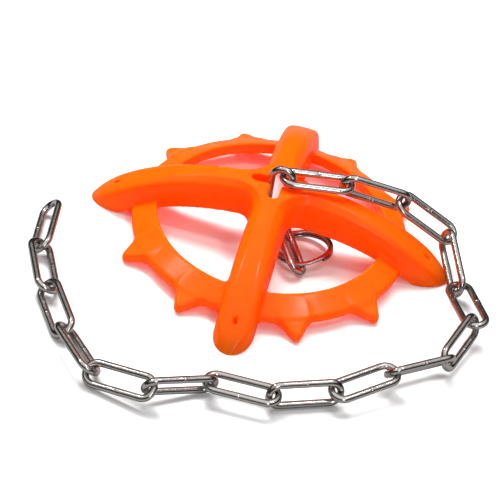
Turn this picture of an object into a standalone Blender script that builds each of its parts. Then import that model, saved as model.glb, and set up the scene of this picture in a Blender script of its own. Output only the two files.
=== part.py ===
"""A moulded plastic dome with four arms, hung on a long-link steel chain that is stored coiled round it.

Lengths are in millimetres and angles in degrees; MM turns a length into the scene's metres. The dome's axis is
the Z axis of the assembly while it is built, its arms lie along X and Y, and its feet stand on z = 0. The root
empty then moves everything so that the footprint of the whole assembly is centred on the origin.
"""

import math

import bmesh
import bpy
from mathutils import Matrix, Vector

MM = 0.001

# Where the middle of the whole footprint lies, seen from the dome's axis.
FOOTPRINT_CENTRE = (2.2, -21.1)

# Dome arms.
HUB_HEIGHT = 30.5
CREST_END_RADIUS = 79.2
SKIRT_HEIGHT = 15.7
SKIRT_END_RADIUS = 64.6
FALL_POWER = 2.45
ARM_HALF_WIDTH = 8.3
FOOT_CENTRE_RADIUS = 64.0
FOOT_STRETCH = 1.63
WALL = 3.2
ROOF = 4.3
CAVITY_CENTRE_RADIUS = 62.3
CREST_FILLET = 21.4
SKIRT_FILLET = 5.4
# Half cross-section of an arm: share of the half width, share of the depth that is still left above.
ARM_PROFILE = ((0.0, 1.0), (0.38, 0.99), (0.60, 0.955), (0.76, 0.86), (0.87, 0.68), (0.94, 0.42), (1.0, 0.0))
FOOT_STEPS = 8
SIDE_STEPS = 7
FILLET_STEPS = 5

# Ring and teeth.
RING_PROFILE = (
    (48.1, 6.6),
    (48.1, 11.9),
    (48.6, 12.3),
    (58.1, 7.3),
    (58.6, 6.7),
    (57.9, 3.2),
    (57.4, 2.8),
    (48.6, 6.2),
)
RING_STEPS = 88
TOOTH_ANGLES = (22.5, 55.0)
TOOTH_ROOT_RADIUS = 55.5
TOOTH_SHOULDER_RADIUS = 58.4
TOOTH_TIP_CENTRE = 63.6
TOOTH_TIP_RADIUS = 2.2
TOOTH_ROOT_HALF_WIDTH = 7.0
TOOTH_SHOULDER_HALF_WIDTH = 6.0
TOOTH_TIP_STEPS = 6
TOOTH_TOP = (58.0, 7.0, 65.8, 4.2)
TOOTH_UNDERSIDE = (58.0, 2.7, 65.8, 0.3)

# Openings in the moulding.
SLOT_HALF_SPAN = 11.0
SLOT_WIDTH = 4.5
SLOT_END_STEPS = 8
TIP_DIMPLE_RADIUS = 66.9
TIP_DIMPLE_LENGTH = 3.2
TIP_DIMPLE_WIDTH = 1.8
TIP_DIMPLE_DEPTH = 2.2
TIP_DIMPLE_SIDES = 12

# Long-link chain of 3 mm wire: 32 mm long and 12 mm wide outside.
WIRE = 3.0
LINK_LENGTH = 32.0
LINK_WIDTH = 12.0
LINK_GAP = 0.7
LINK_BEND_STEPS = 6
WIRE_SIDES = 8
LINK_BEND = (LINK_WIDTH - WIRE) / 2
LINK_REACH = (LINK_LENGTH - WIRE) / 2
HANG = WIRE + LINK_GAP

# The first link stands in the slot. Each row after it is the heading, climb and roll of the next link.
FIRST_LINK_CENTRE = (1.8, 0.0, 22.5)
CHAIN_LAY = (
    (14, -3, 0),
    (14, -15, 97),
    (1, -29, 18),
    (-66, -17, 75),
    (-64, 7, 5),
    (-106, -3, -66),
    (-141, 1, 54),
    (-138, -4, -6),
    (-155, 0, -77),
    (180, 0, -3),
    (-149, 7, 71),
    (169, -8, -35),
    (130, -2, 38),
    (121, 0, -42),
    (114, 1, 28),
    (96, 1, -46),
)
UNDER_LINK_LAY = (-57, -14, -40)

# Split ring: two turns of flat wire, lifted at the side that the link passes under.
RING_CENTRE = (16.0, -6.0, 3.8)
RING_LIFT_HEADING = -31
RING_LIFT = 11
RING_OUTER_DIAMETER = 25.0
RING_WIRE_WIDTH = 2.2
RING_WIRE_HEIGHT = 1.2
RING_TURN_SPACING = 1.5
RING_CROSSOVER_AT = -34
RING_CROSSOVER_HALF = 30
RING_STEP_ANGLE = 10


def clear_scene():
    for old in list(bpy.data.objects):
        bpy.data.objects.remove(old, do_unlink=True)


def material(name, colour, metallic, roughness):
    made = bpy.data.materials.new(name)
    made.use_nodes = True
    shader = made.node_tree.nodes["Principled BSDF"]
    shader.inputs["Base Color"].default_value = (*colour, 1.0)
    shader.inputs["Metallic"].default_value = metallic
    shader.inputs["Roughness"].default_value = roughness
    made.diffuse_color = (*colour, 1.0)
    return made


def object_from(name, points, faces, origin=(0.0, 0.0, 0.0)):
    """A mesh object from points and faces in millimetres, with its own origin at the point given."""
    centre = Vector(origin)
    mesh = bpy.data.meshes.new(name)
    mesh.from_pydata([(Vector(point) - centre) * MM for point in points], [], faces)
    tidy_mesh(mesh)
    made = bpy.data.objects.new(name, mesh)
    made.location = centre * MM
    bpy.context.scene.collection.objects.link(made)
    return made


def tidy_mesh(mesh):
    """Welds points that meet, and turns every face outwards."""
    work = bmesh.new()
    work.from_mesh(mesh)
    bmesh.ops.remove_doubles(work, verts=work.verts, dist=0.01 * MM)
    bmesh.ops.dissolve_degenerate(work, edges=work.edges, dist=0.001 * MM)
    bmesh.ops.recalc_face_normals(work, faces=work.faces)
    work.to_mesh(mesh)
    work.free()


def combine(target, other, operation):
    """Joins the helper to the target, or cuts it out, and removes the helper."""
    modifier = target.modifiers.new(other.name, "BOOLEAN")
    modifier.operation = operation
    modifier.solver = "EXACT"
    modifier.object = other
    graph = bpy.context.evaluated_depsgraph_get()
    result = bpy.data.meshes.new_from_object(target.evaluated_get(graph))
    target.modifiers.clear()
    target.data = result
    bpy.data.objects.remove(other, do_unlink=True)


# Dome moulding.


def crest_height(radius):
    return HUB_HEIGHT * (1 - (radius / CREST_END_RADIUS) ** FALL_POWER)


def skirt_height(radius):
    return max(0.0, SKIRT_HEIGHT * (1 - (radius / SKIRT_END_RADIUS) ** FALL_POWER))


def plan_row(half_width, fillet, foot_centre):
    """Plan points of one line of an eighth of the dome: round the foot, along the arm, round to the diagonal."""
    points = []
    for step in range(FOOT_STEPS):
        angle = math.radians(90 * step / FOOT_STEPS)
        reach = half_width * FOOT_STRETCH * math.cos(angle)
        points.append((foot_centre + reach, half_width * math.sin(angle)))
    fillet_centre = half_width + fillet
    for step in range(SIDE_STEPS):
        share = step / SIDE_STEPS
        points.append((foot_centre + (fillet_centre - foot_centre) * share, half_width))
    for step in range(FILLET_STEPS + 1):
        angle = math.radians(270 - 45 * step / FILLET_STEPS)
        points.append((fillet_centre + fillet * math.cos(angle), fillet_centre + fillet * math.sin(angle)))
    return points


def skin_rows(half_width, skirt_fillet, foot_centre, roof):
    """Rows of points of one eighth of a skin, from the crest line to the bottom edge of the skirt."""
    rows = []
    for share, left in ARM_PROFILE:
        fillet = CREST_FILLET + (skirt_fillet - CREST_FILLET) * share
        row = []
        for x, y in plan_row(half_width * share, fillet, foot_centre):
            radius = math.hypot(x, y)
            bottom = skirt_height(radius)
            row.append((x, y, bottom + (crest_height(radius) - roof - bottom) * left))
        rows.append(row)
    return rows


def eighth_faces(rows, points, middle):
    """Adds a skin's points to the list, and returns its faces: the strips between rows and the fan at the hub."""
    first = len(points)
    length = len(rows[0])
    for row in rows:
        points.extend(row)
    points.append(middle)
    faces = []
    for line in range(len(rows) - 1):
        for step in range(length - 1):
            corner = first + line * length + step
            faces.append((corner, corner + 1, corner + length + 1, corner + length))
    hub = len(points) - 1
    for step in range(length - FILLET_STEPS - 1, length - 1):
        faces.append((first + step, first + step + 1, hub))
    return faces


def dome_shell():
    points = []
    outer = skin_rows(ARM_HALF_WIDTH, SKIRT_FILLET, FOOT_CENTRE_RADIUS, 0.0)
    inner = skin_rows(ARM_HALF_WIDTH - WALL, SKIRT_FILLET + WALL, CAVITY_CENTRE_RADIUS, ROOF)
    faces = eighth_faces(outer, points, (0.0, 0.0, HUB_HEIGHT))
    inner_start = len(points)
    faces += eighth_faces(inner, points, (0.0, 0.0, HUB_HEIGHT - ROOF))
    length = len(outer[0])
    outer_edge = (len(outer) - 1) * length
    inner_edge = inner_start + outer_edge
    for step in range(length - 1):
        faces.append((outer_edge + step, outer_edge + step + 1, inner_edge + step + 1, inner_edge + step))
    all_points = []
    all_faces = []
    for quarter in range(4):
        turn = Matrix.Rotation(math.radians(90 * quarter), 3, "Z")
        for side in (1, -1):
            start = len(all_points)
            all_points += [turn @ Vector((x, side * y, z)) for x, y, z in points]
            all_faces += [tuple(start + corner for corner in face) for face in faces]
    return object_from("dome_moulding", all_points, all_faces)


def ring_solid():
    points = []
    faces = []
    sides = len(RING_PROFILE)
    for step in range(RING_STEPS):
        angle = math.radians(360 * (step + 0.5) / RING_STEPS)
        points += [(r * math.cos(angle), r * math.sin(angle), z) for r, z in RING_PROFILE]
    for step in range(RING_STEPS):
        here = step * sides
        after = (step + 1) % RING_STEPS * sides
        for side in range(sides):
            other = (side + 1) % sides
            faces.append((here + side, here + other, after + other, after + side))
    return object_from("toothed_ring", points, faces)


def height_on(line, radius):
    near, near_height, far, far_height = line
    return near_height + (far_height - near_height) * (radius - near) / (far - near)


def tooth_outline():
    """Plan of a tooth that points along X: its root inside the ring, straight flanks and a round tip."""
    half = [(TOOTH_ROOT_RADIUS, TOOTH_ROOT_HALF_WIDTH), (TOOTH_SHOULDER_RADIUS, TOOTH_SHOULDER_HALF_WIDTH)]
    for step in range(TOOTH_TIP_STEPS):
        angle = math.radians(66 * (1 - step / TOOTH_TIP_STEPS))
        reach = TOOTH_TIP_CENTRE + TOOTH_TIP_RADIUS * math.cos(angle)
        half.append((reach, TOOTH_TIP_RADIUS * math.sin(angle)))
    tip = [(TOOTH_TIP_CENTRE + TOOTH_TIP_RADIUS, 0.0)]
    return half + tip + [(x, -y) for x, y in reversed(half)]


def tooth_solid(number, angle):
    turn = Matrix.Rotation(math.radians(angle), 3, "Z")
    outline = tooth_outline()
    count = len(outline)
    points = [turn @ Vector((x, y, height_on(TOOTH_UNDERSIDE, x))) for x, y in outline]
    points += [turn @ Vector((x, y, height_on(TOOTH_TOP, x))) for x, y in outline]
    faces = [tuple(reversed(range(count))), tuple(range(count, 2 * count))]
    for corner in range(count):
        after = (corner + 1) % count
        faces.append((corner, after, after + count, corner + count))
    return object_from(f"tooth_{number}", points, faces)


def prism(name, outline, low, high):
    count = len(outline)
    points = [(x, y, low) for x, y in outline] + [(x, y, high) for x, y in outline]
    faces = [tuple(reversed(range(count))), tuple(range(count, 2 * count))]
    for corner in range(count):
        after = (corner + 1) % count
        faces.append((corner, after, after + count, corner + count))
    return object_from(name, points, faces)


def slot_outline():
    """The plus: four round-ended slots that meet at the middle."""
    half = SLOT_WIDTH / 2
    end_centre = SLOT_HALF_SPAN - half
    outline = []
    for quarter in range(4):
        turn = Matrix.Rotation(math.radians(90 * quarter), 2)
        outline.append(turn @ Vector((half, -half)))
        for step in range(SLOT_END_STEPS + 1):
            angle = math.radians(180 * step / SLOT_END_STEPS - 90)
            outline.append(turn @ Vector((end_centre + half * math.cos(angle), half * math.sin(angle))))
    return outline


def tip_dimple_outline(quarter):
    turn = Matrix.Rotation(math.radians(90 * quarter), 2)
    outline = []
    for step in range(TIP_DIMPLE_SIDES):
        angle = math.radians(360 * step / TIP_DIMPLE_SIDES)
        along = TIP_DIMPLE_RADIUS + TIP_DIMPLE_LENGTH / 2 * math.cos(angle)
        outline.append(turn @ Vector((along, TIP_DIMPLE_WIDTH / 2 * math.sin(angle))))
    return outline


def dome_moulding():
    dome = dome_shell()
    ring = ring_solid()
    number = 0
    for arm_angle in (-90, 90):
        for offset in TOOTH_ANGLES:
            for side in (1, -1):
                number += 1
                combine(ring, tooth_solid(number, arm_angle + side * offset), "UNION")
    combine(dome, ring, "UNION")
    combine(dome, prism("slot_cut", slot_outline(), HUB_HEIGHT - 2 * ROOF, HUB_HEIGHT + ROOF), "DIFFERENCE")
    for quarter in range(4):
        dimple_floor = crest_height(TIP_DIMPLE_RADIUS) - TIP_DIMPLE_DEPTH
        dimple = prism(f"tip_dimple_{quarter}", tip_dimple_outline(quarter), dimple_floor, HUB_HEIGHT)
        combine(dome, dimple, "DIFFERENCE")
    return dome


# Chain.


def directions(heading, climb, roll):
    """Unit vectors along a link and across its width."""
    turn = math.radians(heading)
    rise = math.radians(climb)
    twist = math.radians(roll)
    along = Vector((math.cos(rise) * math.cos(turn), math.cos(rise) * math.sin(turn), math.sin(rise)))
    level = Vector((-math.sin(turn), math.cos(turn), 0.0))
    across = level * math.cos(twist) + along.cross(level) * math.sin(twist)
    return along, across


def link_centreline():
    """(along, across) points of the wire's centre line, with the direction in which it turns outwards."""
    straight = LINK_REACH - LINK_BEND
    line = []
    for end in (1, -1):
        for step in range(LINK_BEND_STEPS + 1):
            angle = math.radians(180 * step / LINK_BEND_STEPS - 90) + (0 if end == 1 else math.pi)
            out = (math.cos(angle), math.sin(angle))
            line.append((end * straight + LINK_BEND * out[0], LINK_BEND * out[1], out))
    return line


def tube_faces(rings, sides):
    """Faces of a closed tube whose points run ring by ring."""
    faces = []
    for ring in range(rings):
        here = ring * sides
        after = (ring + 1) % rings * sides
        for side in range(sides):
            other = (side + 1) % sides
            faces.append((here + side, after + side, after + other, here + other))
    return faces


def link(name, centre, along, across, hinge_point):
    """One welded link, with its origin on the wire of the neighbour that it swings on."""
    normal = along.cross(across)
    points = []
    line = link_centreline()
    for forward, sideways, out in line:
        middle = centre + along * forward + across * sideways
        outwards = along * out[0] + across * out[1]
        for side in range(WIRE_SIDES):
            angle = 2 * math.pi * (side + 0.5) / WIRE_SIDES
            points.append(middle + (outwards * math.cos(angle) + normal * math.sin(angle)) * (WIRE / 2))
    return object_from(name, points, tube_faces(len(line), WIRE_SIDES), hinge_point)


def next_link(centre, along, across, lay):
    """Centre and directions of the link that hangs on the end wire of the link given."""
    end_wire = centre + along * LINK_REACH
    new_along, new_across = directions(*lay)
    pull = across.cross(new_across).normalized()
    if pull.dot(along + new_along) < 0:
        pull = -pull
    new_centre = end_wire - pull * HANG + new_along * LINK_REACH
    return end_wire, new_centre, new_along, new_across


def lay_chain(steel):
    """The first link stands in the slot; the others follow one another to the free end."""
    centre = Vector(FIRST_LINK_CENTRE)
    along = Vector((0.0, 0.0, 1.0))
    across = Vector((1.0, 0.0, 0.0))
    links = [link("link_01", centre, along, across, centre)]
    for number, lay in enumerate(CHAIN_LAY, start=2):
        hinge_point, centre, along, across = next_link(centre, along, across, lay)
        links.append(link(f"link_{number:02d}", centre, along, across, hinge_point))
    for made in links:
        made.data.materials.append(steel)
    return links


def lay_under_link(steel):
    """The link below the hub swings on the lower wire of the first link."""
    down = Vector((0.0, 0.0, -1.0))
    across = Vector((1.0, 0.0, 0.0))
    placed = next_link(Vector(FIRST_LINK_CENTRE), down, across, UNDER_LINK_LAY)
    hinge_point, centre, along, across = placed
    made = link("link_under", centre, along, across, hinge_point)
    made.data.materials.append(steel)
    return made, centre, along, across


# Split ring.


def split_ring(steel, under_centre, under_along):
    """Two turns of flat wire round the lower wire of the link below the hub, joined by a short crossover."""
    hinge_point = under_centre + under_along * LINK_REACH
    turn = math.radians(RING_LIFT_HEADING)
    tilt = math.radians(RING_LIFT)
    uphill = Vector((math.cos(turn) * math.cos(tilt), math.sin(turn) * math.cos(tilt), math.sin(tilt)))
    level = Vector((-math.sin(turn), math.cos(turn), 0.0))
    normal = uphill.cross(level)
    middle_radius = (RING_OUTER_DIAMETER - RING_WIRE_WIDTH) / 2
    steps = round((720 - 2 * RING_CROSSOVER_HALF) / RING_STEP_ANGLE)
    points = []
    for step in range(steps + 1):
        past_start = RING_CROSSOVER_HALF + step * RING_STEP_ANGLE
        angle = math.radians(RING_CROSSOVER_AT + past_start)
        share = (past_start - 360 + RING_CROSSOVER_HALF) / (2 * RING_CROSSOVER_HALF)
        share = min(1.0, max(0.0, share))
        height = RING_TURN_SPACING * (share * share * (3 - 2 * share) - 0.5)
        outwards = uphill * math.cos(angle) + level * math.sin(angle)
        for radial, up in ((-1, -1), (1, -1), (1, 1), (-1, 1)):
            radius = middle_radius + radial * RING_WIRE_WIDTH / 2
            lift = height + up * RING_WIRE_HEIGHT / 2
            points.append(Vector(RING_CENTRE) + outwards * radius + normal * lift)
    faces = [(3, 2, 1, 0), tuple(4 * steps + corner for corner in range(4))]
    for step in range(steps):
        here = 4 * step
        for corner in range(4):
            other = (corner + 1) % 4
            faces.append((here + corner, here + other, here + 4 + other, here + 4 + corner))
    made = object_from("split_ring", points, faces, hinge_point)
    made.data.materials.append(steel)
    return made


def gather(pieces):
    """Puts every piece under one root, which moves the middle of the footprint to the origin."""
    root = bpy.data.objects.new("assembly_root", None)
    bpy.context.scene.collection.objects.link(root)
    for piece in pieces:
        piece.parent = root
    root.location = Vector((-FOOTPRINT_CENTRE[0], -FOOTPRINT_CENTRE[1], 0.0)) * MM


def build():
    clear_scene()
    orange = material("orange_plastic", (0.95, 0.22, 0.02), 0.0, 0.25)
    chain_steel = material("chain_steel", (0.62, 0.62, 0.60), 1.0, 0.2)
    ring_steel = material("ring_steel", (0.55, 0.55, 0.54), 1.0, 0.25)
    dome = dome_moulding()
    dome.data.materials.append(orange)
    under, under_centre, under_along, under_across = lay_under_link(chain_steel)
    ring = split_ring(ring_steel, under_centre, under_along)
    gather([dome, under, ring] + lay_chain(chain_steel))


build()
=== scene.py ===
"""Looks of the chained dome: smooth moulding, drawn and welded chain links and a split ring, on a pale floor.

Lengths are in metres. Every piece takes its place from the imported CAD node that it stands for.
"""

import math

import bpy
import numpy as np
from mathutils import Matrix, Vector


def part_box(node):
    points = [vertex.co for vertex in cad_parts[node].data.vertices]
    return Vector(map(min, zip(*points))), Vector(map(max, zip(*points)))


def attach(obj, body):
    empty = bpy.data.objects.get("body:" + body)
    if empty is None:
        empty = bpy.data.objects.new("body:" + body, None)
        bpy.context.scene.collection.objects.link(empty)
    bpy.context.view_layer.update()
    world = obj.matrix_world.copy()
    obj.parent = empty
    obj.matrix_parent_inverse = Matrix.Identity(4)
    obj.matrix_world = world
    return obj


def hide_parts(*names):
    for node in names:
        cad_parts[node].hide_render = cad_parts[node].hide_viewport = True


MM = 0.001

# Camera, in degrees, metres and the millimetres of a lens: its direction from the dome, and its turn about
# its own axis.
CAMERA_AZIMUTH = 6.8
CAMERA_ELEVATION = 40.1
CAMERA_ROLL = 9.4
CAMERA_DISTANCE = 1.0
CAMERA_LENS = 176.8
AIM_FROM_DOME_AXIS = (-3.0 * MM, -31.7 * MM, 17.5 * MM)
SENSOR_WIDTH = 36.0
CAMERA_CLIP = (0.01, 20.0)

# Studio, in metres and watts. A light is its name, place from the lit point, size, power, and whether mirror
# reflections see it.
LIT_POINT_FROM_DOME_AXIS = (0.0, -0.02, 0.015)
LIGHTS = (
    ("key_light", (-0.50, 0.60, 0.95), (0.42, 0.42), 14.0, False),
    ("top_light", (-0.05, 0.60, 1.2), (0.8, 0.45), 18.0, False),
    ("left_spark", (-0.70, 0.16, 1.08), (0.10, 0.16), 2.2, True),
    ("right_spark", (0.42, 0.05, 1.23), (0.10, 0.16), 2.2, True),
    ("front_light", (0.5, -1.1, 0.7), (0.2, 0.8), 3.0, True),
)
FLOOR_SIDE = 6.0
FLOOR_WHITE = 0.84
FLOOR_ROUGHNESS = 0.9
FILL_LIGHT = 0.5
SURROUND_WHITE = 1.0

# What mirror reflections see: a floor that darkens between two distances from its middle, and a soft box over
# the object, as (cosine from its axis, brightness) rows.
FLOOR_MIRROR_NEAR = (0.10, 0.30)
FLOOR_MIRROR_FAR = (0.55, 0.03)
SOFT_BOX_AXIS = (0.0, -0.04, 0.999)
SOFT_BOX_GLOW = (
    (0.0, 0.03),
    (0.38, 0.02),
    (0.54, 0.10),
    (0.64, 0.50),
    (0.78, 0.72),
    (0.90, 1.15),
    (1.0, 1.3),
)

# Dome moulding, in millimetres from its own axis.
HUB_HEIGHT = 30.5
CREST_END_RADIUS = 79.2
SKIRT_HEIGHT = 15.7
SKIRT_END_RADIUS = 64.6
FALL_POWER = 2.45
ARM_HALF_WIDTH = 8.3
FOOT_CENTRE_RADIUS = 64.0
FOOT_STRETCH = 1.63
WALL = 3.2
ROOF = 4.3
CAVITY_CENTRE_RADIUS = 62.3
CREST_FILLET = 21.4
SKIRT_FILLET = 5.4
# Half cross-section of an arm: share of the half width, share of the depth that is still left above. It is
# bevelled near the hub and has a broad top near the foot.
SECTION_SHARE = (0.0, 0.30, 0.38, 0.46, 0.60, 0.72, 0.80, 0.86, 0.91, 0.95, 1.0, 1.3)
HUB_SECTION_LEFT = (1.0, 0.992, 0.985, 0.955, 0.88, 0.82, 0.75, 0.63, 0.46, 0.28, 0.0, -1.7)
FOOT_SECTION_LEFT = (1.0, 0.995, 0.99, 0.985, 0.97, 0.94, 0.89, 0.80, 0.67, 0.48, 0.0, -2.6)
LEAST_DEPTH = 1.2
SECTION_CHANGE = (22.0, 60.0)
SECTION_BLUR = (-0.05, -0.025, 0.0, 0.025, 0.05)
FARTHEST_SHARE = 1.3
ARM_EDGE_ROUNDING = 0.5
# Ring section as (radius, height) corners in order.
RING_SECTION = ((48.1, 12.3), (58.6, 6.8), (57.9, 2.8), (48.1, 6.2))
RING_ROUNDING = 1.6
TOOTH_ANGLES = (22.5, 55.0)
TOOTH_ROOT_CENTRE = 56.0
TOOTH_ROOT_RADIUS = 6.3
TOOTH_TIP_CENTRE = 63.6
TOOTH_TIP_RADIUS = 2.2
TOOTH_TOP = (58.0, 7.0, 65.8, 4.2)
TOOTH_UNDERSIDE = (58.0, 2.7, 65.8, 0.3)
TOOTH_SLOPE_COSINE = 0.93
TOOTH_TOP_ROUNDING = 1.6
TOOTH_UNDERSIDE_ROUNDING = 1.2
TOOTH_ROOT_FILLET = 2.0
RING_FILLET = 1.4
SLOT_HALF_SPAN = 11.0
SLOT_HALF_WIDTH = 2.25
SLOT_ROUNDING = 0.8
FAR_FROM_SLOT = 9.0
DIMPLE_RADIUS = 66.9
DIMPLE_HALF_LENGTH = 1.6
DIMPLE_HALF_WIDTH = 0.8
DIMPLE_DEPTH = 2.2
DIMPLE_NARROWING = 0.35
DIMPLE_FLOOR_ROUNDING = 0.5
DIMPLE_EDGE_ROUNDING = 0.4

# Sampling of the dome's distance field, in millimetres.
GRID_PITCH = 0.7
GRID_REACH = 80
GRID_MARGIN = 1.5
HEIGHT_STEP = 0.05
SETTLE_STEP = 0.02
LEAST_SLOPE_SQUARED = 0.2
LONGEST_SETTLE = 0.3

# Chain link.
WIRE_RADIUS = 1.5
LINK_HALF_STRAIGHT = 10.0
LINK_BEND = 4.5
LINK_SIDES = 28
BEND_STEPS = 19
PLAIN_STEPS = 14
WELDED_END_STEPS = 6
WELD_REACH = 3.0
WELD_STEP = 0.15
PAST_WELD = 3.5
NO_WELD = 99
WELD_SWELL = 0.055
WELD_SWELL_REACH = 1.3
WELD_SEAM = 0.11
WELD_SEAM_REACH = 0.28
WELD_SWELL_UNEVENNESS = 0.35
WELD_SEAM_UNEVENNESS = 0.25
WELD_TURN_PER_LINK = 1.7
LINK_NODES = [f"link_{number:02d}" for number in range(1, 18)] + ["link_under"]

# Split ring, in degrees and millimetres.
SPLIT_LIFT_HEADING = -31
SPLIT_LIFT = 11
SPLIT_MIDDLE_RADIUS = 11.4
SPLIT_WIRE_HALF_WIDTH = 1.1
SPLIT_WIRE_HALF_HEIGHT = 0.6
SPLIT_TURN_SPACING = 1.5
SPLIT_CROSSOVER_AT = -34
SPLIT_CROSSOVER_HALF = 30
SPLIT_STEP = 3.0
SPLIT_SIDES = 24
SPLIT_SQUARENESS = 0.7
SPLIT_END_TAPER = (0.6, 0.88, 1.0)

# Materials. Colours are linear. A noise is its features per metre and its detail, and a bump is its strength
# and its height in metres.
NOISE_RANGE = (0.3, 0.7)

# Plastic.
PLASTIC_DEEP = (1.0, 0.215, 0.002, 1.0)
PLASTIC_PALE = (1.0, 0.255, 0.003, 1.0)
PLASTIC_CLOUD = (45.0, 2.0)
PLASTIC_SUBSURFACE_WEIGHT = 0.55
PLASTIC_SUBSURFACE_RADIUS = (1.0, 0.22, 0.04)
PLASTIC_SUBSURFACE_SCALE = 0.005
PLASTIC_IOR = 1.5
PLASTIC_SPECULAR = 0.32
PLASTIC_ROUGHNESS = (0.14, 0.24)
PLASTIC_SMEAR = (180.0, 3.0)
PLASTIC_WAVE = (110.0, 1.0)
PLASTIC_WAVE_BUMP = (0.12, 0.0004)
PLASTIC_GRAIN = (2600.0, 2.0)
PLASTIC_GRAIN_BUMP = (0.05, 0.0001)
PLASTIC_THROUGH = (1.0, 0.075, 0.010, 1.0)
PLASTIC_THROUGH_SHARE = 0.62

# Steel. Each kind is its colour, then its least and greatest roughness.
CHAIN_STEEL = ((0.52, 0.49, 0.47), 0.12, 0.24)
RING_STEEL = ((0.44, 0.42, 0.41), 0.14, 0.26)
STAIN_DARKENING = 0.86
STEEL_STAIN = (420.0, 4.0)
STEEL_RUB = (900.0, 5.0)
STEEL_DENTS = (500.0, 2.0)
STEEL_DENT_BUMP = (0.25, 0.00025)
STEEL_MARKS = (3500.0, 3.0)
STEEL_MARK_BUMP = (0.12, 0.00005)


# Distance fields, in millimetres. A negative value is inside.


def soft_max(first, second, width):
    """The larger of two fields, with the edge where they meet rounded over this width."""
    blend = np.maximum(width - np.abs(first - second), 0.0)
    return np.maximum(first, second) + blend * blend / (4 * width)


def soft_min(first, second, width):
    return -soft_max(-first, -second, width)


def crest_height(radius):
    return HUB_HEIGHT * (1 - (radius / CREST_END_RADIUS) ** FALL_POWER)


def skirt_height(radius):
    inner = np.minimum(radius, SKIRT_END_RADIUS)
    return SKIRT_HEIGHT * (1 - (inner / SKIRT_END_RADIUS) ** FALL_POWER)


def arm_share(x, y, half_width, skirt_fillet, foot_centre):
    """How far out a plan point lies on the nearest arm: 0 on the crest line, 1 on the skirt's edge."""
    along = np.maximum(np.abs(x), np.abs(y))
    beside = np.minimum(np.abs(x), np.abs(y))
    straight = beside / half_width
    foot = np.hypot((along - foot_centre) / FOOT_STRETCH, beside) / half_width
    centre_fall = CREST_FILLET - skirt_fillet - half_width
    radius_fall = CREST_FILLET - skirt_fillet
    square = 2 * centre_fall**2 - radius_fall**2
    near_along = along - CREST_FILLET
    near_beside = beside - CREST_FILLET
    linear = 2 * (centre_fall * (near_along + near_beside) + radius_fall * CREST_FILLET)
    rest = near_along**2 + near_beside**2 - CREST_FILLET**2
    root = np.sqrt(np.maximum(linear**2 - 4 * square * rest, 0.0))
    fillet = np.clip((-linear + root) / (2 * square), 0.0, FARTHEST_SHARE)
    share = np.where(along < CREST_FILLET - centre_fall * straight, fillet, straight)
    return np.where(along > foot_centre, foot, share)


def section_left(share, towards_foot):
    at_hub = np.interp(share, SECTION_SHARE, HUB_SECTION_LEFT)
    at_foot = np.interp(share, SECTION_SHARE, FOOT_SECTION_LEFT)
    return at_hub + (at_foot - at_hub) * towards_foot


def skin_height(x, y, half_width, skirt_fillet, foot_centre, roof):
    radius = np.hypot(x, y)
    bottom = skirt_height(radius)
    share = arm_share(x, y, half_width, skirt_fillet, foot_centre)
    start, end = SECTION_CHANGE
    towards_foot = np.clip((radius - start) / (end - start), 0.0, 1.0)
    left = np.zeros_like(share)
    for shift in SECTION_BLUR:
        left += section_left(np.abs(share + shift), towards_foot) / len(SECTION_BLUR)
    depth = np.maximum(crest_height(radius) - roof - bottom, LEAST_DEPTH)
    return bottom + depth * left


def below_skin(x, y, z, *shape):
    """Signed distance, near enough, to a skin given as a height over the plan."""
    height = skin_height(x, y, *shape)
    slope_x = (skin_height(x + HEIGHT_STEP, y, *shape) - height) / HEIGHT_STEP
    slope_y = (skin_height(x, y + HEIGHT_STEP, *shape) - height) / HEIGHT_STEP
    return (z - height) / np.sqrt(1 + slope_x**2 + slope_y**2)


def arms_field(x, y, z):
    outer = below_skin(x, y, z, ARM_HALF_WIDTH, SKIRT_FILLET, FOOT_CENTRE_RADIUS, 0.0)
    inner = below_skin(x, y, z, ARM_HALF_WIDTH - WALL, SKIRT_FILLET + WALL, CAVITY_CENTRE_RADIUS, ROOF)
    bottom = skirt_height(np.hypot(x, y)) - z
    return soft_max(soft_max(outer, bottom, ARM_EDGE_ROUNDING), -inner, ARM_EDGE_ROUNDING)


def ring_section_field(radius, z):
    total = None
    count = len(RING_SECTION)
    for corner in range(count):
        near_radius, near_height = RING_SECTION[corner]
        far_radius, far_height = RING_SECTION[(corner + 1) % count]
        length = math.hypot(far_radius - near_radius, far_height - near_height)
        out_radius = -(far_height - near_height) / length
        out_height = (far_radius - near_radius) / length
        side = (radius - near_radius) * out_radius + (z - near_height) * out_height
        total = side if total is None else soft_max(total, side, RING_ROUNDING)
    return total


def line_height(line, radius):
    near, near_height, far, far_height = line
    return near_height + (far_height - near_height) * (radius - near) / (far - near)


def tooth_plan_field(along, beside):
    """A shape with a wide round root, straight flanks and a small round tip."""
    beside = np.abs(beside)
    length = TOOTH_TIP_CENTRE - TOOTH_ROOT_CENTRE
    lean = (TOOTH_ROOT_RADIUS - TOOTH_TIP_RADIUS) / length
    level = math.sqrt(1 - lean * lean)
    forward = along - TOOTH_ROOT_CENTRE
    place = forward * level - beside * lean
    flank = beside * level + forward * lean - TOOTH_ROOT_RADIUS
    root = np.hypot(forward, beside) - TOOTH_ROOT_RADIUS
    tip = np.hypot(forward - length, beside) - TOOTH_TIP_RADIUS
    return np.where(place < 0, root, np.where(place > length * level, tip, flank))


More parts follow.
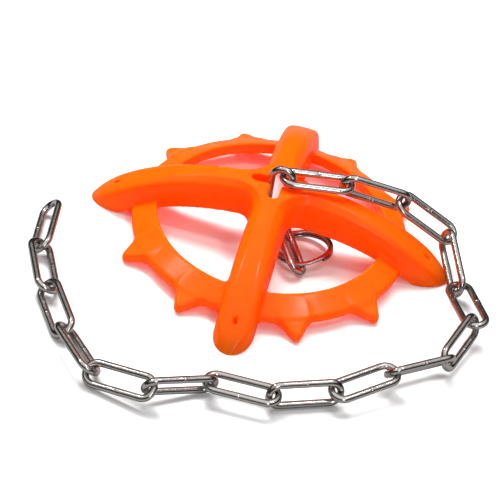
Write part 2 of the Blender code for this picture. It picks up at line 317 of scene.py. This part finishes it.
def teeth_field(x, y, z):
    total = None
    x = np.abs(x)
    y = np.abs(y)
    for angle in TOOTH_ANGLES:
        turn = math.radians(90 - angle)
        along = x * math.cos(turn) + y * math.sin(turn)
        beside = -x * math.sin(turn) + y * math.cos(turn)
        plan = tooth_plan_field(along, beside)
        top = (z - line_height(TOOTH_TOP, along)) * TOOTH_SLOPE_COSINE
        underside = (line_height(TOOTH_UNDERSIDE, along) - z) * TOOTH_SLOPE_COSINE
        tooth = soft_max(soft_max(plan, top, TOOTH_TOP_ROUNDING), underside, TOOTH_UNDERSIDE_ROUNDING)
        total = tooth if total is None else np.minimum(total, tooth)
    return total


def slot_field(x, y):
    reach = SLOT_HALF_SPAN - SLOT_HALF_WIDTH
    along_x = np.hypot(np.maximum(np.abs(x) - reach, 0.0), y) - SLOT_HALF_WIDTH
    along_y = np.hypot(x, np.maximum(np.abs(y) - reach, 0.0)) - SLOT_HALF_WIDTH
    return soft_min(along_x, along_y, SLOT_ROUNDING)


def dimple_field(x, y, z):
    """A shallow teardrop in each foot."""
    along = np.maximum(np.abs(x), np.abs(y)) - DIMPLE_RADIUS
    beside = np.minimum(np.abs(x), np.abs(y))
    narrowing = DIMPLE_HALF_WIDTH * (1 - DIMPLE_NARROWING * np.clip(-along / DIMPLE_HALF_LENGTH, -1, 1))
    plan = (np.hypot(along / DIMPLE_HALF_LENGTH, beside / narrowing) - 1) * DIMPLE_HALF_WIDTH
    floor = crest_height(DIMPLE_RADIUS) - DIMPLE_DEPTH
    return soft_max(plan, floor - z, DIMPLE_FLOOR_ROUNDING)


def dome_field(x, y, z):
    ring = soft_min(ring_section_field(np.hypot(x, y), z), teeth_field(x, y, z), TOOTH_ROOT_FILLET)
    body = soft_min(arms_field(x, y, z), ring, RING_FILLET)
    slot = np.where(z > SKIRT_HEIGHT, slot_field(x, y), FAR_FROM_SLOT)
    body = soft_max(body, -slot, SLOT_ROUNDING)
    return soft_max(body, -dimple_field(x, y, z), DIMPLE_EDGE_ROUNDING)


# Mesh of a distance field.


def sample_quarter(pitch):
    """The field over the whole dome, worked out for one quarter and mirrored."""
    half = int(math.ceil(GRID_REACH / pitch)) + 1
    line = (np.arange(half) + 0.5) * pitch
    heights = np.arange(-GRID_MARGIN, HUB_HEIGHT + GRID_MARGIN, pitch)
    x, y, z = np.meshgrid(line, line, heights, indexing="ij")
    quarter = dome_field(x, y, z)
    whole = np.concatenate([quarter[::-1], quarter])
    whole = np.concatenate([whole[:, ::-1], whole], axis=1)
    corner = np.array([-line[-1], -line[-1], heights[0]])
    return whole, corner


def net_points(field, corner, pitch):
    """One point in each cell that the surface crosses, and each cell's number in the list of points."""
    cells = tuple(size - 1 for size in field.shape)
    total = np.zeros(cells + (3,))
    count = np.zeros(cells)
    for axis in range(3):
        low = np.take(field, range(field.shape[axis] - 1), axis)
        high = np.take(field, range(1, field.shape[axis]), axis)
        crossed = (low < 0) != (high < 0)
        share = np.where(crossed, low / np.where(crossed, low - high, 1.0), 0.0)
        others = [other for other in range(3) if other != axis]
        for first in (0, 1):
            for second in (0, 1):
                part = [slice(None)] * 3
                part[others[0]] = slice(first, first + cells[others[0]])
                part[others[1]] = slice(second, second + cells[others[1]])
                part = tuple(part)
                here = crossed[part]
                count += here
                total[..., axis] += np.where(here, share[part], 0.0)
                total[..., others[0]] += here * first
                total[..., others[1]] += here * second
    used = count > 0
    number = np.full(cells, -1)
    number[used] = np.arange(used.sum())
    points = (np.argwhere(used) + total[used] / count[used][:, None]) * pitch + corner
    return points, number


def net_faces(field, number):
    """A quad round every grid edge that the surface crosses, turned outwards."""
    faces = []
    for axis in range(3):
        low = np.take(field, range(field.shape[axis] - 1), axis)
        high = np.take(field, range(1, field.shape[axis]), axis)
        crossed = np.argwhere((low < 0) != (high < 0))
        others = [(axis + 1) % 3, (axis + 2) % 3]
        inside = (crossed[:, others[0]] > 0) & (crossed[:, others[1]] > 0)
        crossed = crossed[inside]
        corners = []
        for first, second in ((1, 1), (0, 1), (0, 0), (1, 0)):
            cell = crossed.copy()
            cell[:, others[0]] -= first
            cell[:, others[1]] -= second
            corners.append(number[cell[:, 0], cell[:, 1], cell[:, 2]])
        quads = np.stack(corners, axis=1)
        outwards = low[crossed[:, 0], crossed[:, 1], crossed[:, 2]] < 0
        quads[~outwards] = quads[~outwards][:, ::-1]
        faces.append(quads)
    return np.concatenate(faces)


def settle_points(points, rounds=4):
    """Moves each point along the field's slope until it lies on the surface."""
    step = SETTLE_STEP
    for _ in range(rounds):
        x, y, z = points.T
        value = dome_field(x, y, z)
        slope = np.stack(
            [
                dome_field(x + step, y, z) - dome_field(x - step, y, z),
                dome_field(x, y + step, z) - dome_field(x, y - step, z),
                dome_field(x, y, z + step) - dome_field(x, y, z - step),
            ],
            axis=1,
        ) / (2 * step)
        size = np.maximum((slope**2).sum(axis=1), LEAST_SLOPE_SQUARED)
        move = slope * (value / size)[:, None]
        points = points - np.clip(move, -LONGEST_SETTLE, LONGEST_SETTLE)
    return points


# Objects.


def mesh_object(name, points, faces, material):
    """A smooth object whose vertices are in the row frame."""
    mesh = bpy.data.meshes.new(name)
    mesh.from_pydata([tuple(point) for point in points], [], [tuple(int(i) for i in face) for face in faces])
    mesh.update()
    mesh.shade_smooth()
    mesh.materials.append(material)
    made = bpy.data.objects.new(name, mesh)
    bpy.context.scene.collection.objects.link(made)
    return made


def stand_for(piece, node):
    """The piece is shown in place of the CAD node and moves with its body."""
    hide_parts(node)
    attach(piece, node)


def build_dome(axis_place, plastic):
    pitch = GRID_PITCH
    field, corner = sample_quarter(pitch)
    points, number = net_points(field, corner, pitch)
    faces = net_faces(field, number)
    points = settle_points(points)
    points[:, 2] = np.maximum(points[:, 2], 0.0)
    dome = mesh_object("dome_skin", points * MM + axis_place, faces, plastic)
    stand_for(dome, "dome_moulding")
    return dome


def node_points(node):
    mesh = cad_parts[node].data
    flat = np.empty(len(mesh.vertices) * 3)
    mesh.vertices.foreach_get("co", flat)
    return flat.reshape(-1, 3)


def main_axes(points):
    """Middle of the points, and their directions from the longest to the shortest extent."""
    values, vectors = np.linalg.eigh(np.cov((points - points.mean(axis=0)).T))
    order = np.argsort(values)[::-1]
    axes = vectors[:, order].T
    spread = (points - points.mean(axis=0)) @ axes.T
    centre = points.mean(axis=0) + ((spread.max(axis=0) + spread.min(axis=0)) / 2) @ axes
    if np.linalg.det(axes) < 0:
        axes[2] = -axes[2]
    return centre, axes


def tube_faces(rings, sides):
    ring = np.arange(rings)[:, None]
    side = np.arange(sides)[None, :]
    after_ring = (ring + 1) % rings
    after_side = (side + 1) % sides
    quads = [
        ring * sides + side,
        after_ring * sides + side,
        after_ring * sides + after_side,
        ring * sides + after_side,
    ]
    return np.stack([np.broadcast_to(quad, (rings, sides)).ravel() for quad in quads], axis=1)


def bend_rows(centre, start):
    """Half a turn of the wire about a point on the link's long axis."""
    rows = []
    for turned in np.radians(np.linspace(-90, 90, BEND_STEPS)[1:-1]):
        angle = turned + start
        cosine = math.cos(angle)
        sine = math.sin(angle)
        rows.append((centre + LINK_BEND * cosine, LINK_BEND * sine, cosine, sine, NO_WELD))
    return rows


def link_line(weld_side):
    """Centre line of the wire round a link, with outward directions and the distance from the weld."""
    near_weld = np.arange(-WELD_REACH, WELD_REACH + 0.01, WELD_STEP)
    far = LINK_HALF_STRAIGHT
    before_weld = np.linspace(-far, -PAST_WELD, WELDED_END_STEPS)
    after_weld = np.linspace(PAST_WELD, far, WELDED_END_STEPS)
    rows = []
    for along in np.concatenate([before_weld, near_weld, after_weld]):
        rows.append((along, -LINK_BEND, 0.0, -1.0, abs(along)))
    rows += bend_rows(far, 0.0)
    for along in np.linspace(far, -far, PLAIN_STEPS):
        rows.append((along, LINK_BEND, 0.0, 1.0, NO_WELD))
    rows += bend_rows(-far, math.pi)
    line = np.array(rows)
    line[:, 1] *= weld_side
    line[:, 3] *= weld_side
    return line


def build_link(node, number, steel):
    """A link of round wire with a butt weld in the middle of one long side."""
    centre, axes = main_axes(node_points(node))
    weld_side = 1 if number % 2 else -1
    line = link_line(weld_side)
    sides = LINK_SIDES
    angle = np.arange(sides) / sides * 2 * math.pi
    away = line[:, 4][:, None]
    swell_side = 1 + WELD_SWELL_UNEVENNESS * np.cos(angle + number)[None, :]
    seam_wave = np.cos(2 * angle + WELD_TURN_PER_LINK * number)[None, :]
    seam_side = 1 - WELD_SEAM_UNEVENNESS + WELD_SEAM_UNEVENNESS * seam_wave
    swell = WELD_SWELL * np.exp(-((away / WELD_SWELL_REACH) ** 2)) * swell_side
    seam = WELD_SEAM * np.exp(-((away / WELD_SEAM_REACH) ** 2)) * seam_side
    thick = WIRE_RADIUS * (1 + swell - seam)
    out = line[:, 2:4]
    flat = line[:, 0:2][:, None, :] + out[:, None, :] * (thick * np.cos(angle)[None, :])[..., None]
    rise = thick * np.sin(angle)[None, :]
    local = np.concatenate([flat, rise[..., None]], axis=2).reshape(-1, 3) * MM
    faces = tube_faces(len(line), sides)
    if weld_side < 0:
        faces = faces[:, ::-1]
    points = centre + local @ axes
    piece = mesh_object(node + "_wire", points, faces, steel)
    stand_for(piece, node)
    return piece


def build_split_ring(steel):
    """Two turns of spring wire with rounded edges, joined by a short crossover."""
    low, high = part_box("split_ring")
    centre = (np.array(low) + np.array(high)) / 2
    turn = math.radians(SPLIT_LIFT_HEADING)
    tilt = math.radians(SPLIT_LIFT)
    uphill = np.array([math.cos(turn) * math.cos(tilt), math.sin(turn) * math.cos(tilt), math.sin(tilt)])
    level = np.array([-math.sin(turn), math.cos(turn), 0.0])
    normal = np.cross(uphill, level)
    sides = SPLIT_SIDES
    around = np.arange(sides) / sides * 2 * math.pi
    across = np.sign(np.cos(around)) * np.abs(np.cos(around)) ** SPLIT_SQUARENESS * SPLIT_WIRE_HALF_WIDTH
    upright = np.sign(np.sin(around)) * np.abs(np.sin(around)) ** SPLIT_SQUARENESS * SPLIT_WIRE_HALF_HEIGHT
    past_start = np.arange(SPLIT_CROSSOVER_HALF, 720 - SPLIT_CROSSOVER_HALF + 0.1, SPLIT_STEP)
    rings = []
    for step, past in enumerate(past_start):
        angle = math.radians(SPLIT_CROSSOVER_AT + past)
        share = min(1.0, max(0.0, (past - 360 + SPLIT_CROSSOVER_HALF) / (2 * SPLIT_CROSSOVER_HALF)))
        height = SPLIT_TURN_SPACING * (share * share * (3 - 2 * share) - 0.5)
        from_end = min(step, len(past_start) - 1 - step)
        taper = SPLIT_END_TAPER[min(from_end, 2)]
        outwards = uphill * math.cos(angle) + level * math.sin(angle)
        reach = SPLIT_MIDDLE_RADIUS + across * taper
        rise = height + upright * taper
        rings.append(centre + (outwards * reach[:, None] + normal * rise[:, None]) * MM)
    points = np.concatenate(rings)
    faces = [tuple(face)[::-1] for face in tube_faces(len(rings), sides)[:-sides]]
    last = (len(rings) - 1) * sides
    faces.append(tuple(range(sides)))
    faces.append(tuple(last + side for side in reversed(range(sides))))
    piece = mesh_object("split_ring_wire", points, faces, steel)
    stand_for(piece, "split_ring")
    return piece


# Materials.


def new_material(name):
    made = bpy.data.materials.new(name)
    made.use_nodes = True
    return made, made.node_tree.nodes, made.node_tree.links, made.node_tree.nodes["Principled BSDF"]


def add_noise(nodes, links, noise):
    """The factor of a noise in object coordinates."""
    scale, detail = noise
    place = nodes.new("ShaderNodeTexCoord")
    node = nodes.new("ShaderNodeTexNoise")
    node.inputs["Scale"].default_value = scale
    node.inputs["Detail"].default_value = detail
    links.new(place.outputs["Object"], node.inputs["Vector"])
    return node.outputs["Fac"]


def vary_colour(nodes, links, shader, noise, first, second):
    """The base colour goes from the first colour to the second with the noise."""
    tint = nodes.new("ShaderNodeMix")
    tint.data_type = "RGBA"
    tint.inputs["A"].default_value = first
    tint.inputs["B"].default_value = second
    links.new(add_noise(nodes, links, noise), tint.inputs["Factor"])
    links.new(tint.outputs["Result"], shader.inputs["Base Color"])


def vary_roughness(nodes, links, shader, noise, low, high):
    """The roughness follows the noise between two limits."""
    node = nodes.new("ShaderNodeMapRange")
    node.inputs["From Min"].default_value = NOISE_RANGE[0]
    node.inputs["From Max"].default_value = NOISE_RANGE[1]
    node.inputs["To Min"].default_value = low
    node.inputs["To Max"].default_value = high
    links.new(add_noise(nodes, links, noise), node.inputs["Value"])
    links.new(node.outputs["Result"], shader.inputs["Roughness"])


def add_relief(nodes, links, shader, layers):
    """Bumps laid over each other, from (noise, bump) rows."""
    normal = None
    for noise, (strength, height) in layers:
        bump = nodes.new("ShaderNodeBump")
        bump.inputs["Strength"].default_value = strength
        bump.inputs["Distance"].default_value = height
        links.new(add_noise(nodes, links, noise), bump.inputs["Height"])
        if normal is not None:
            links.new(normal, bump.inputs["Normal"])
        normal = bump.outputs["Normal"]
    links.new(normal, shader.inputs["Normal"])


def plastic_material():
    """Glossy orange plastic that lets some light through its walls."""
    made, nodes, links, shader = new_material("orange_plastic_look")
    vary_colour(nodes, links, shader, PLASTIC_CLOUD, PLASTIC_DEEP, PLASTIC_PALE)
    shader.inputs["Subsurface Weight"].default_value = PLASTIC_SUBSURFACE_WEIGHT
    shader.inputs["Subsurface Radius"].default_value = PLASTIC_SUBSURFACE_RADIUS
    shader.inputs["Subsurface Scale"].default_value = PLASTIC_SUBSURFACE_SCALE
    shader.inputs["IOR"].default_value = PLASTIC_IOR
    shader.inputs["Specular IOR Level"].default_value = PLASTIC_SPECULAR
    vary_roughness(nodes, links, shader, PLASTIC_SMEAR, *PLASTIC_ROUGHNESS)
    layers = ((PLASTIC_WAVE, PLASTIC_WAVE_BUMP), (PLASTIC_GRAIN, PLASTIC_GRAIN_BUMP))
    add_relief(nodes, links, shader, layers)
    through = nodes.new("ShaderNodeBsdfTranslucent")
    through.inputs["Color"].default_value = PLASTIC_THROUGH
    mix = nodes.new("ShaderNodeMixShader")
    mix.inputs["Fac"].default_value = PLASTIC_THROUGH_SHARE
    links.new(shader.outputs["BSDF"], mix.inputs[1])
    links.new(through.outputs["BSDF"], mix.inputs[2])
    links.new(mix.outputs["Shader"], nodes["Material Output"].inputs["Surface"])
    return made


def steel_material(name, colour, low_roughness, high_roughness):
    """Polished wire with faint stains, dents and small handling marks."""
    made, nodes, links, shader = new_material(name)
    shader.inputs["Metallic"].default_value = 1.0
    stained = (*[value * STAIN_DARKENING for value in colour], 1.0)
    vary_colour(nodes, links, shader, STEEL_STAIN, stained, (*colour, 1.0))
    vary_roughness(nodes, links, shader, STEEL_RUB, low_roughness, high_roughness)
    layers = ((STEEL_DENTS, STEEL_DENT_BUMP), (STEEL_MARKS, STEEL_MARK_BUMP))
    add_relief(nodes, links, shader, layers)
    return made


# Studio.


def flat_card(name, side, paint):
    """A level square about the origin."""
    half = side / 2
    corners = [(-half, -half, 0), (half, -half, 0), (half, half, 0), (-half, half, 0)]
    mesh = bpy.data.meshes.new(name)
    mesh.from_pydata(corners, [], [(0, 1, 2, 3)])
    mesh.materials.append(paint)
    made = bpy.data.objects.new(name, mesh)
    bpy.context.scene.collection.objects.link(made)
    return made


def soft_light(name, place, size, power, target):
    data = bpy.data.lights.new(name, "AREA")
    data.shape = "RECTANGLE"
    data.size = size[0]
    data.size_y = size[1]
    data.energy = power
    made = bpy.data.objects.new(name, data)
    made.location = place
    made.rotation_euler = (target - place).to_track_quat("-Z", "Y").to_euler()
    bpy.context.scene.collection.objects.link(made)
    return made


def grey(value):
    return (value, value, value, 1.0)


def floor_material():
    """White paper. In mirror reflections it darkens away from the object, as if the room were dark."""
    made, nodes, links, shader = new_material("floor_paint")
    shader.inputs["Roughness"].default_value = FLOOR_ROUGHNESS
    place = nodes.new("ShaderNodeTexCoord")
    distance = nodes.new("ShaderNodeVectorMath")
    distance.operation = "LENGTH"
    links.new(place.outputs["Object"], distance.inputs[0])
    ramp = nodes.new("ShaderNodeValToRGB")
    near, far = ramp.color_ramp.elements
    near.position = FLOOR_MIRROR_NEAR[0]
    near.color = grey(FLOOR_MIRROR_NEAR[1])
    far.position = FLOOR_MIRROR_FAR[0]
    far.color = grey(FLOOR_MIRROR_FAR[1])
    links.new(distance.outputs["Value"], ramp.inputs["Fac"])
    ray = nodes.new("ShaderNodeLightPath")
    mix = nodes.new("ShaderNodeMix")
    mix.data_type = "RGBA"
    mix.inputs["A"].default_value = grey(FLOOR_WHITE)
    links.new(ray.outputs["Is Glossy Ray"], mix.inputs["Factor"])
    links.new(ramp.outputs["Color"], mix.inputs["B"])
    links.new(mix.outputs["Result"], shader.inputs["Base Color"])
    return made


def build_world():
    """A plain white surround. Mirror reflections see a soft box in a dark room, which steel needs."""
    world = bpy.data.worlds.new("studio_world")
    bpy.context.scene.world = world
    world.use_nodes = True
    nodes = world.node_tree.nodes
    links = world.node_tree.links
    place = nodes.new("ShaderNodeTexCoord")
    facing = nodes.new("ShaderNodeVectorMath")
    facing.operation = "DOT_PRODUCT"
    facing.inputs[1].default_value = SOFT_BOX_AXIS
    ramp = nodes.new("ShaderNodeValToRGB")
    low, high = ramp.color_ramp.elements
    low.color = grey(SOFT_BOX_GLOW[0][1])
    high.color = grey(SOFT_BOX_GLOW[-1][1])
    for cosine, value in SOFT_BOX_GLOW[1:-1]:
        ramp.color_ramp.elements.new(cosine).color = grey(value)
    links.new(place.outputs["Generated"], facing.inputs[0])
    links.new(facing.outputs["Value"], ramp.inputs["Fac"])
    ray = nodes.new("ShaderNodeLightPath")
    seen = nodes.new("ShaderNodeMix")
    seen.data_type = "RGBA"
    seen.inputs["A"].default_value = grey(FILL_LIGHT)
    seen.inputs["B"].default_value = grey(SURROUND_WHITE)
    links.new(ray.outputs["Is Camera Ray"], seen.inputs["Factor"])
    mix = nodes.new("ShaderNodeMix")
    mix.data_type = "RGBA"
    links.new(ray.outputs["Is Glossy Ray"], mix.inputs["Factor"])
    links.new(seen.outputs["Result"], mix.inputs["A"])
    links.new(ramp.outputs["Color"], mix.inputs["B"])
    links.new(mix.outputs["Result"], nodes["Background"].inputs["Color"])
    nodes["Background"].inputs["Strength"].default_value = 1.0


def build_studio(middle):
    floor = flat_card("floor", FLOOR_SIDE, floor_material())
    for name, away, size, power, mirrored in LIGHTS:
        light = soft_light(name, middle + Vector(away), size, power, middle)
        light.visible_glossy = mirrored
    build_world()


def build_camera(dome_axis):
    data = bpy.data.cameras.new("camera")
    data.lens = CAMERA_LENS
    data.sensor_width = SENSOR_WIDTH
    data.clip_start = CAMERA_CLIP[0]
    data.clip_end = CAMERA_CLIP[1]
    azimuth = math.radians(CAMERA_AZIMUTH)
    elevation = math.radians(CAMERA_ELEVATION)
    roll = math.radians(CAMERA_ROLL)
    level_reach = math.cos(elevation)
    towards_camera = Vector(
        (math.sin(azimuth) * level_reach, -math.cos(azimuth) * level_reach, math.sin(elevation))
    )
    level_right = Vector((math.cos(azimuth), math.sin(azimuth), 0.0))
    level_up = towards_camera.cross(level_right)
    right = level_right * math.cos(roll) + level_up * math.sin(roll)
    up = level_up * math.cos(roll) - level_right * math.sin(roll)
    turn = Matrix((right, up, towards_camera)).transposed()
    made = bpy.data.objects.new("camera", data)
    place = dome_axis + Vector(AIM_FROM_DOME_AXIS) + towards_camera * CAMERA_DISTANCE
    made.matrix_world = Matrix.Translation(place) @ turn.to_4x4()
    bpy.context.scene.collection.objects.link(made)
    bpy.context.scene.camera = made


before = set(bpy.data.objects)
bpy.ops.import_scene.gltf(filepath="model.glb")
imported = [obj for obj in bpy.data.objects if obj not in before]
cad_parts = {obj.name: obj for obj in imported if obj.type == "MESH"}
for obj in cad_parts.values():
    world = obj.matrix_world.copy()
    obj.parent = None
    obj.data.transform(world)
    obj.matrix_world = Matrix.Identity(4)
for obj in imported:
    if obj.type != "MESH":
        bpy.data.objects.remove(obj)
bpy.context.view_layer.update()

dome_low, dome_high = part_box("dome_moulding")
dome_axis = Vector(((dome_low[0] + dome_high[0]) / 2, (dome_low[1] + dome_high[1]) / 2, 0.0))

build_camera(dome_axis)
build_studio(dome_axis + Vector(LIT_POINT_FROM_DOME_AXIS))

plastic = plastic_material()
chain_steel = steel_material("chain_steel_look", *CHAIN_STEEL)
ring_steel = steel_material("ring_steel_look", *RING_STEEL)

build_dome(np.array(dome_axis), plastic)
for number, node in enumerate(LINK_NODES, start=1):
    build_link(node, number, chain_steel)
build_split_ring(ring_steel)

bpy.context.scene.view_settings.view_transform = "Standard"
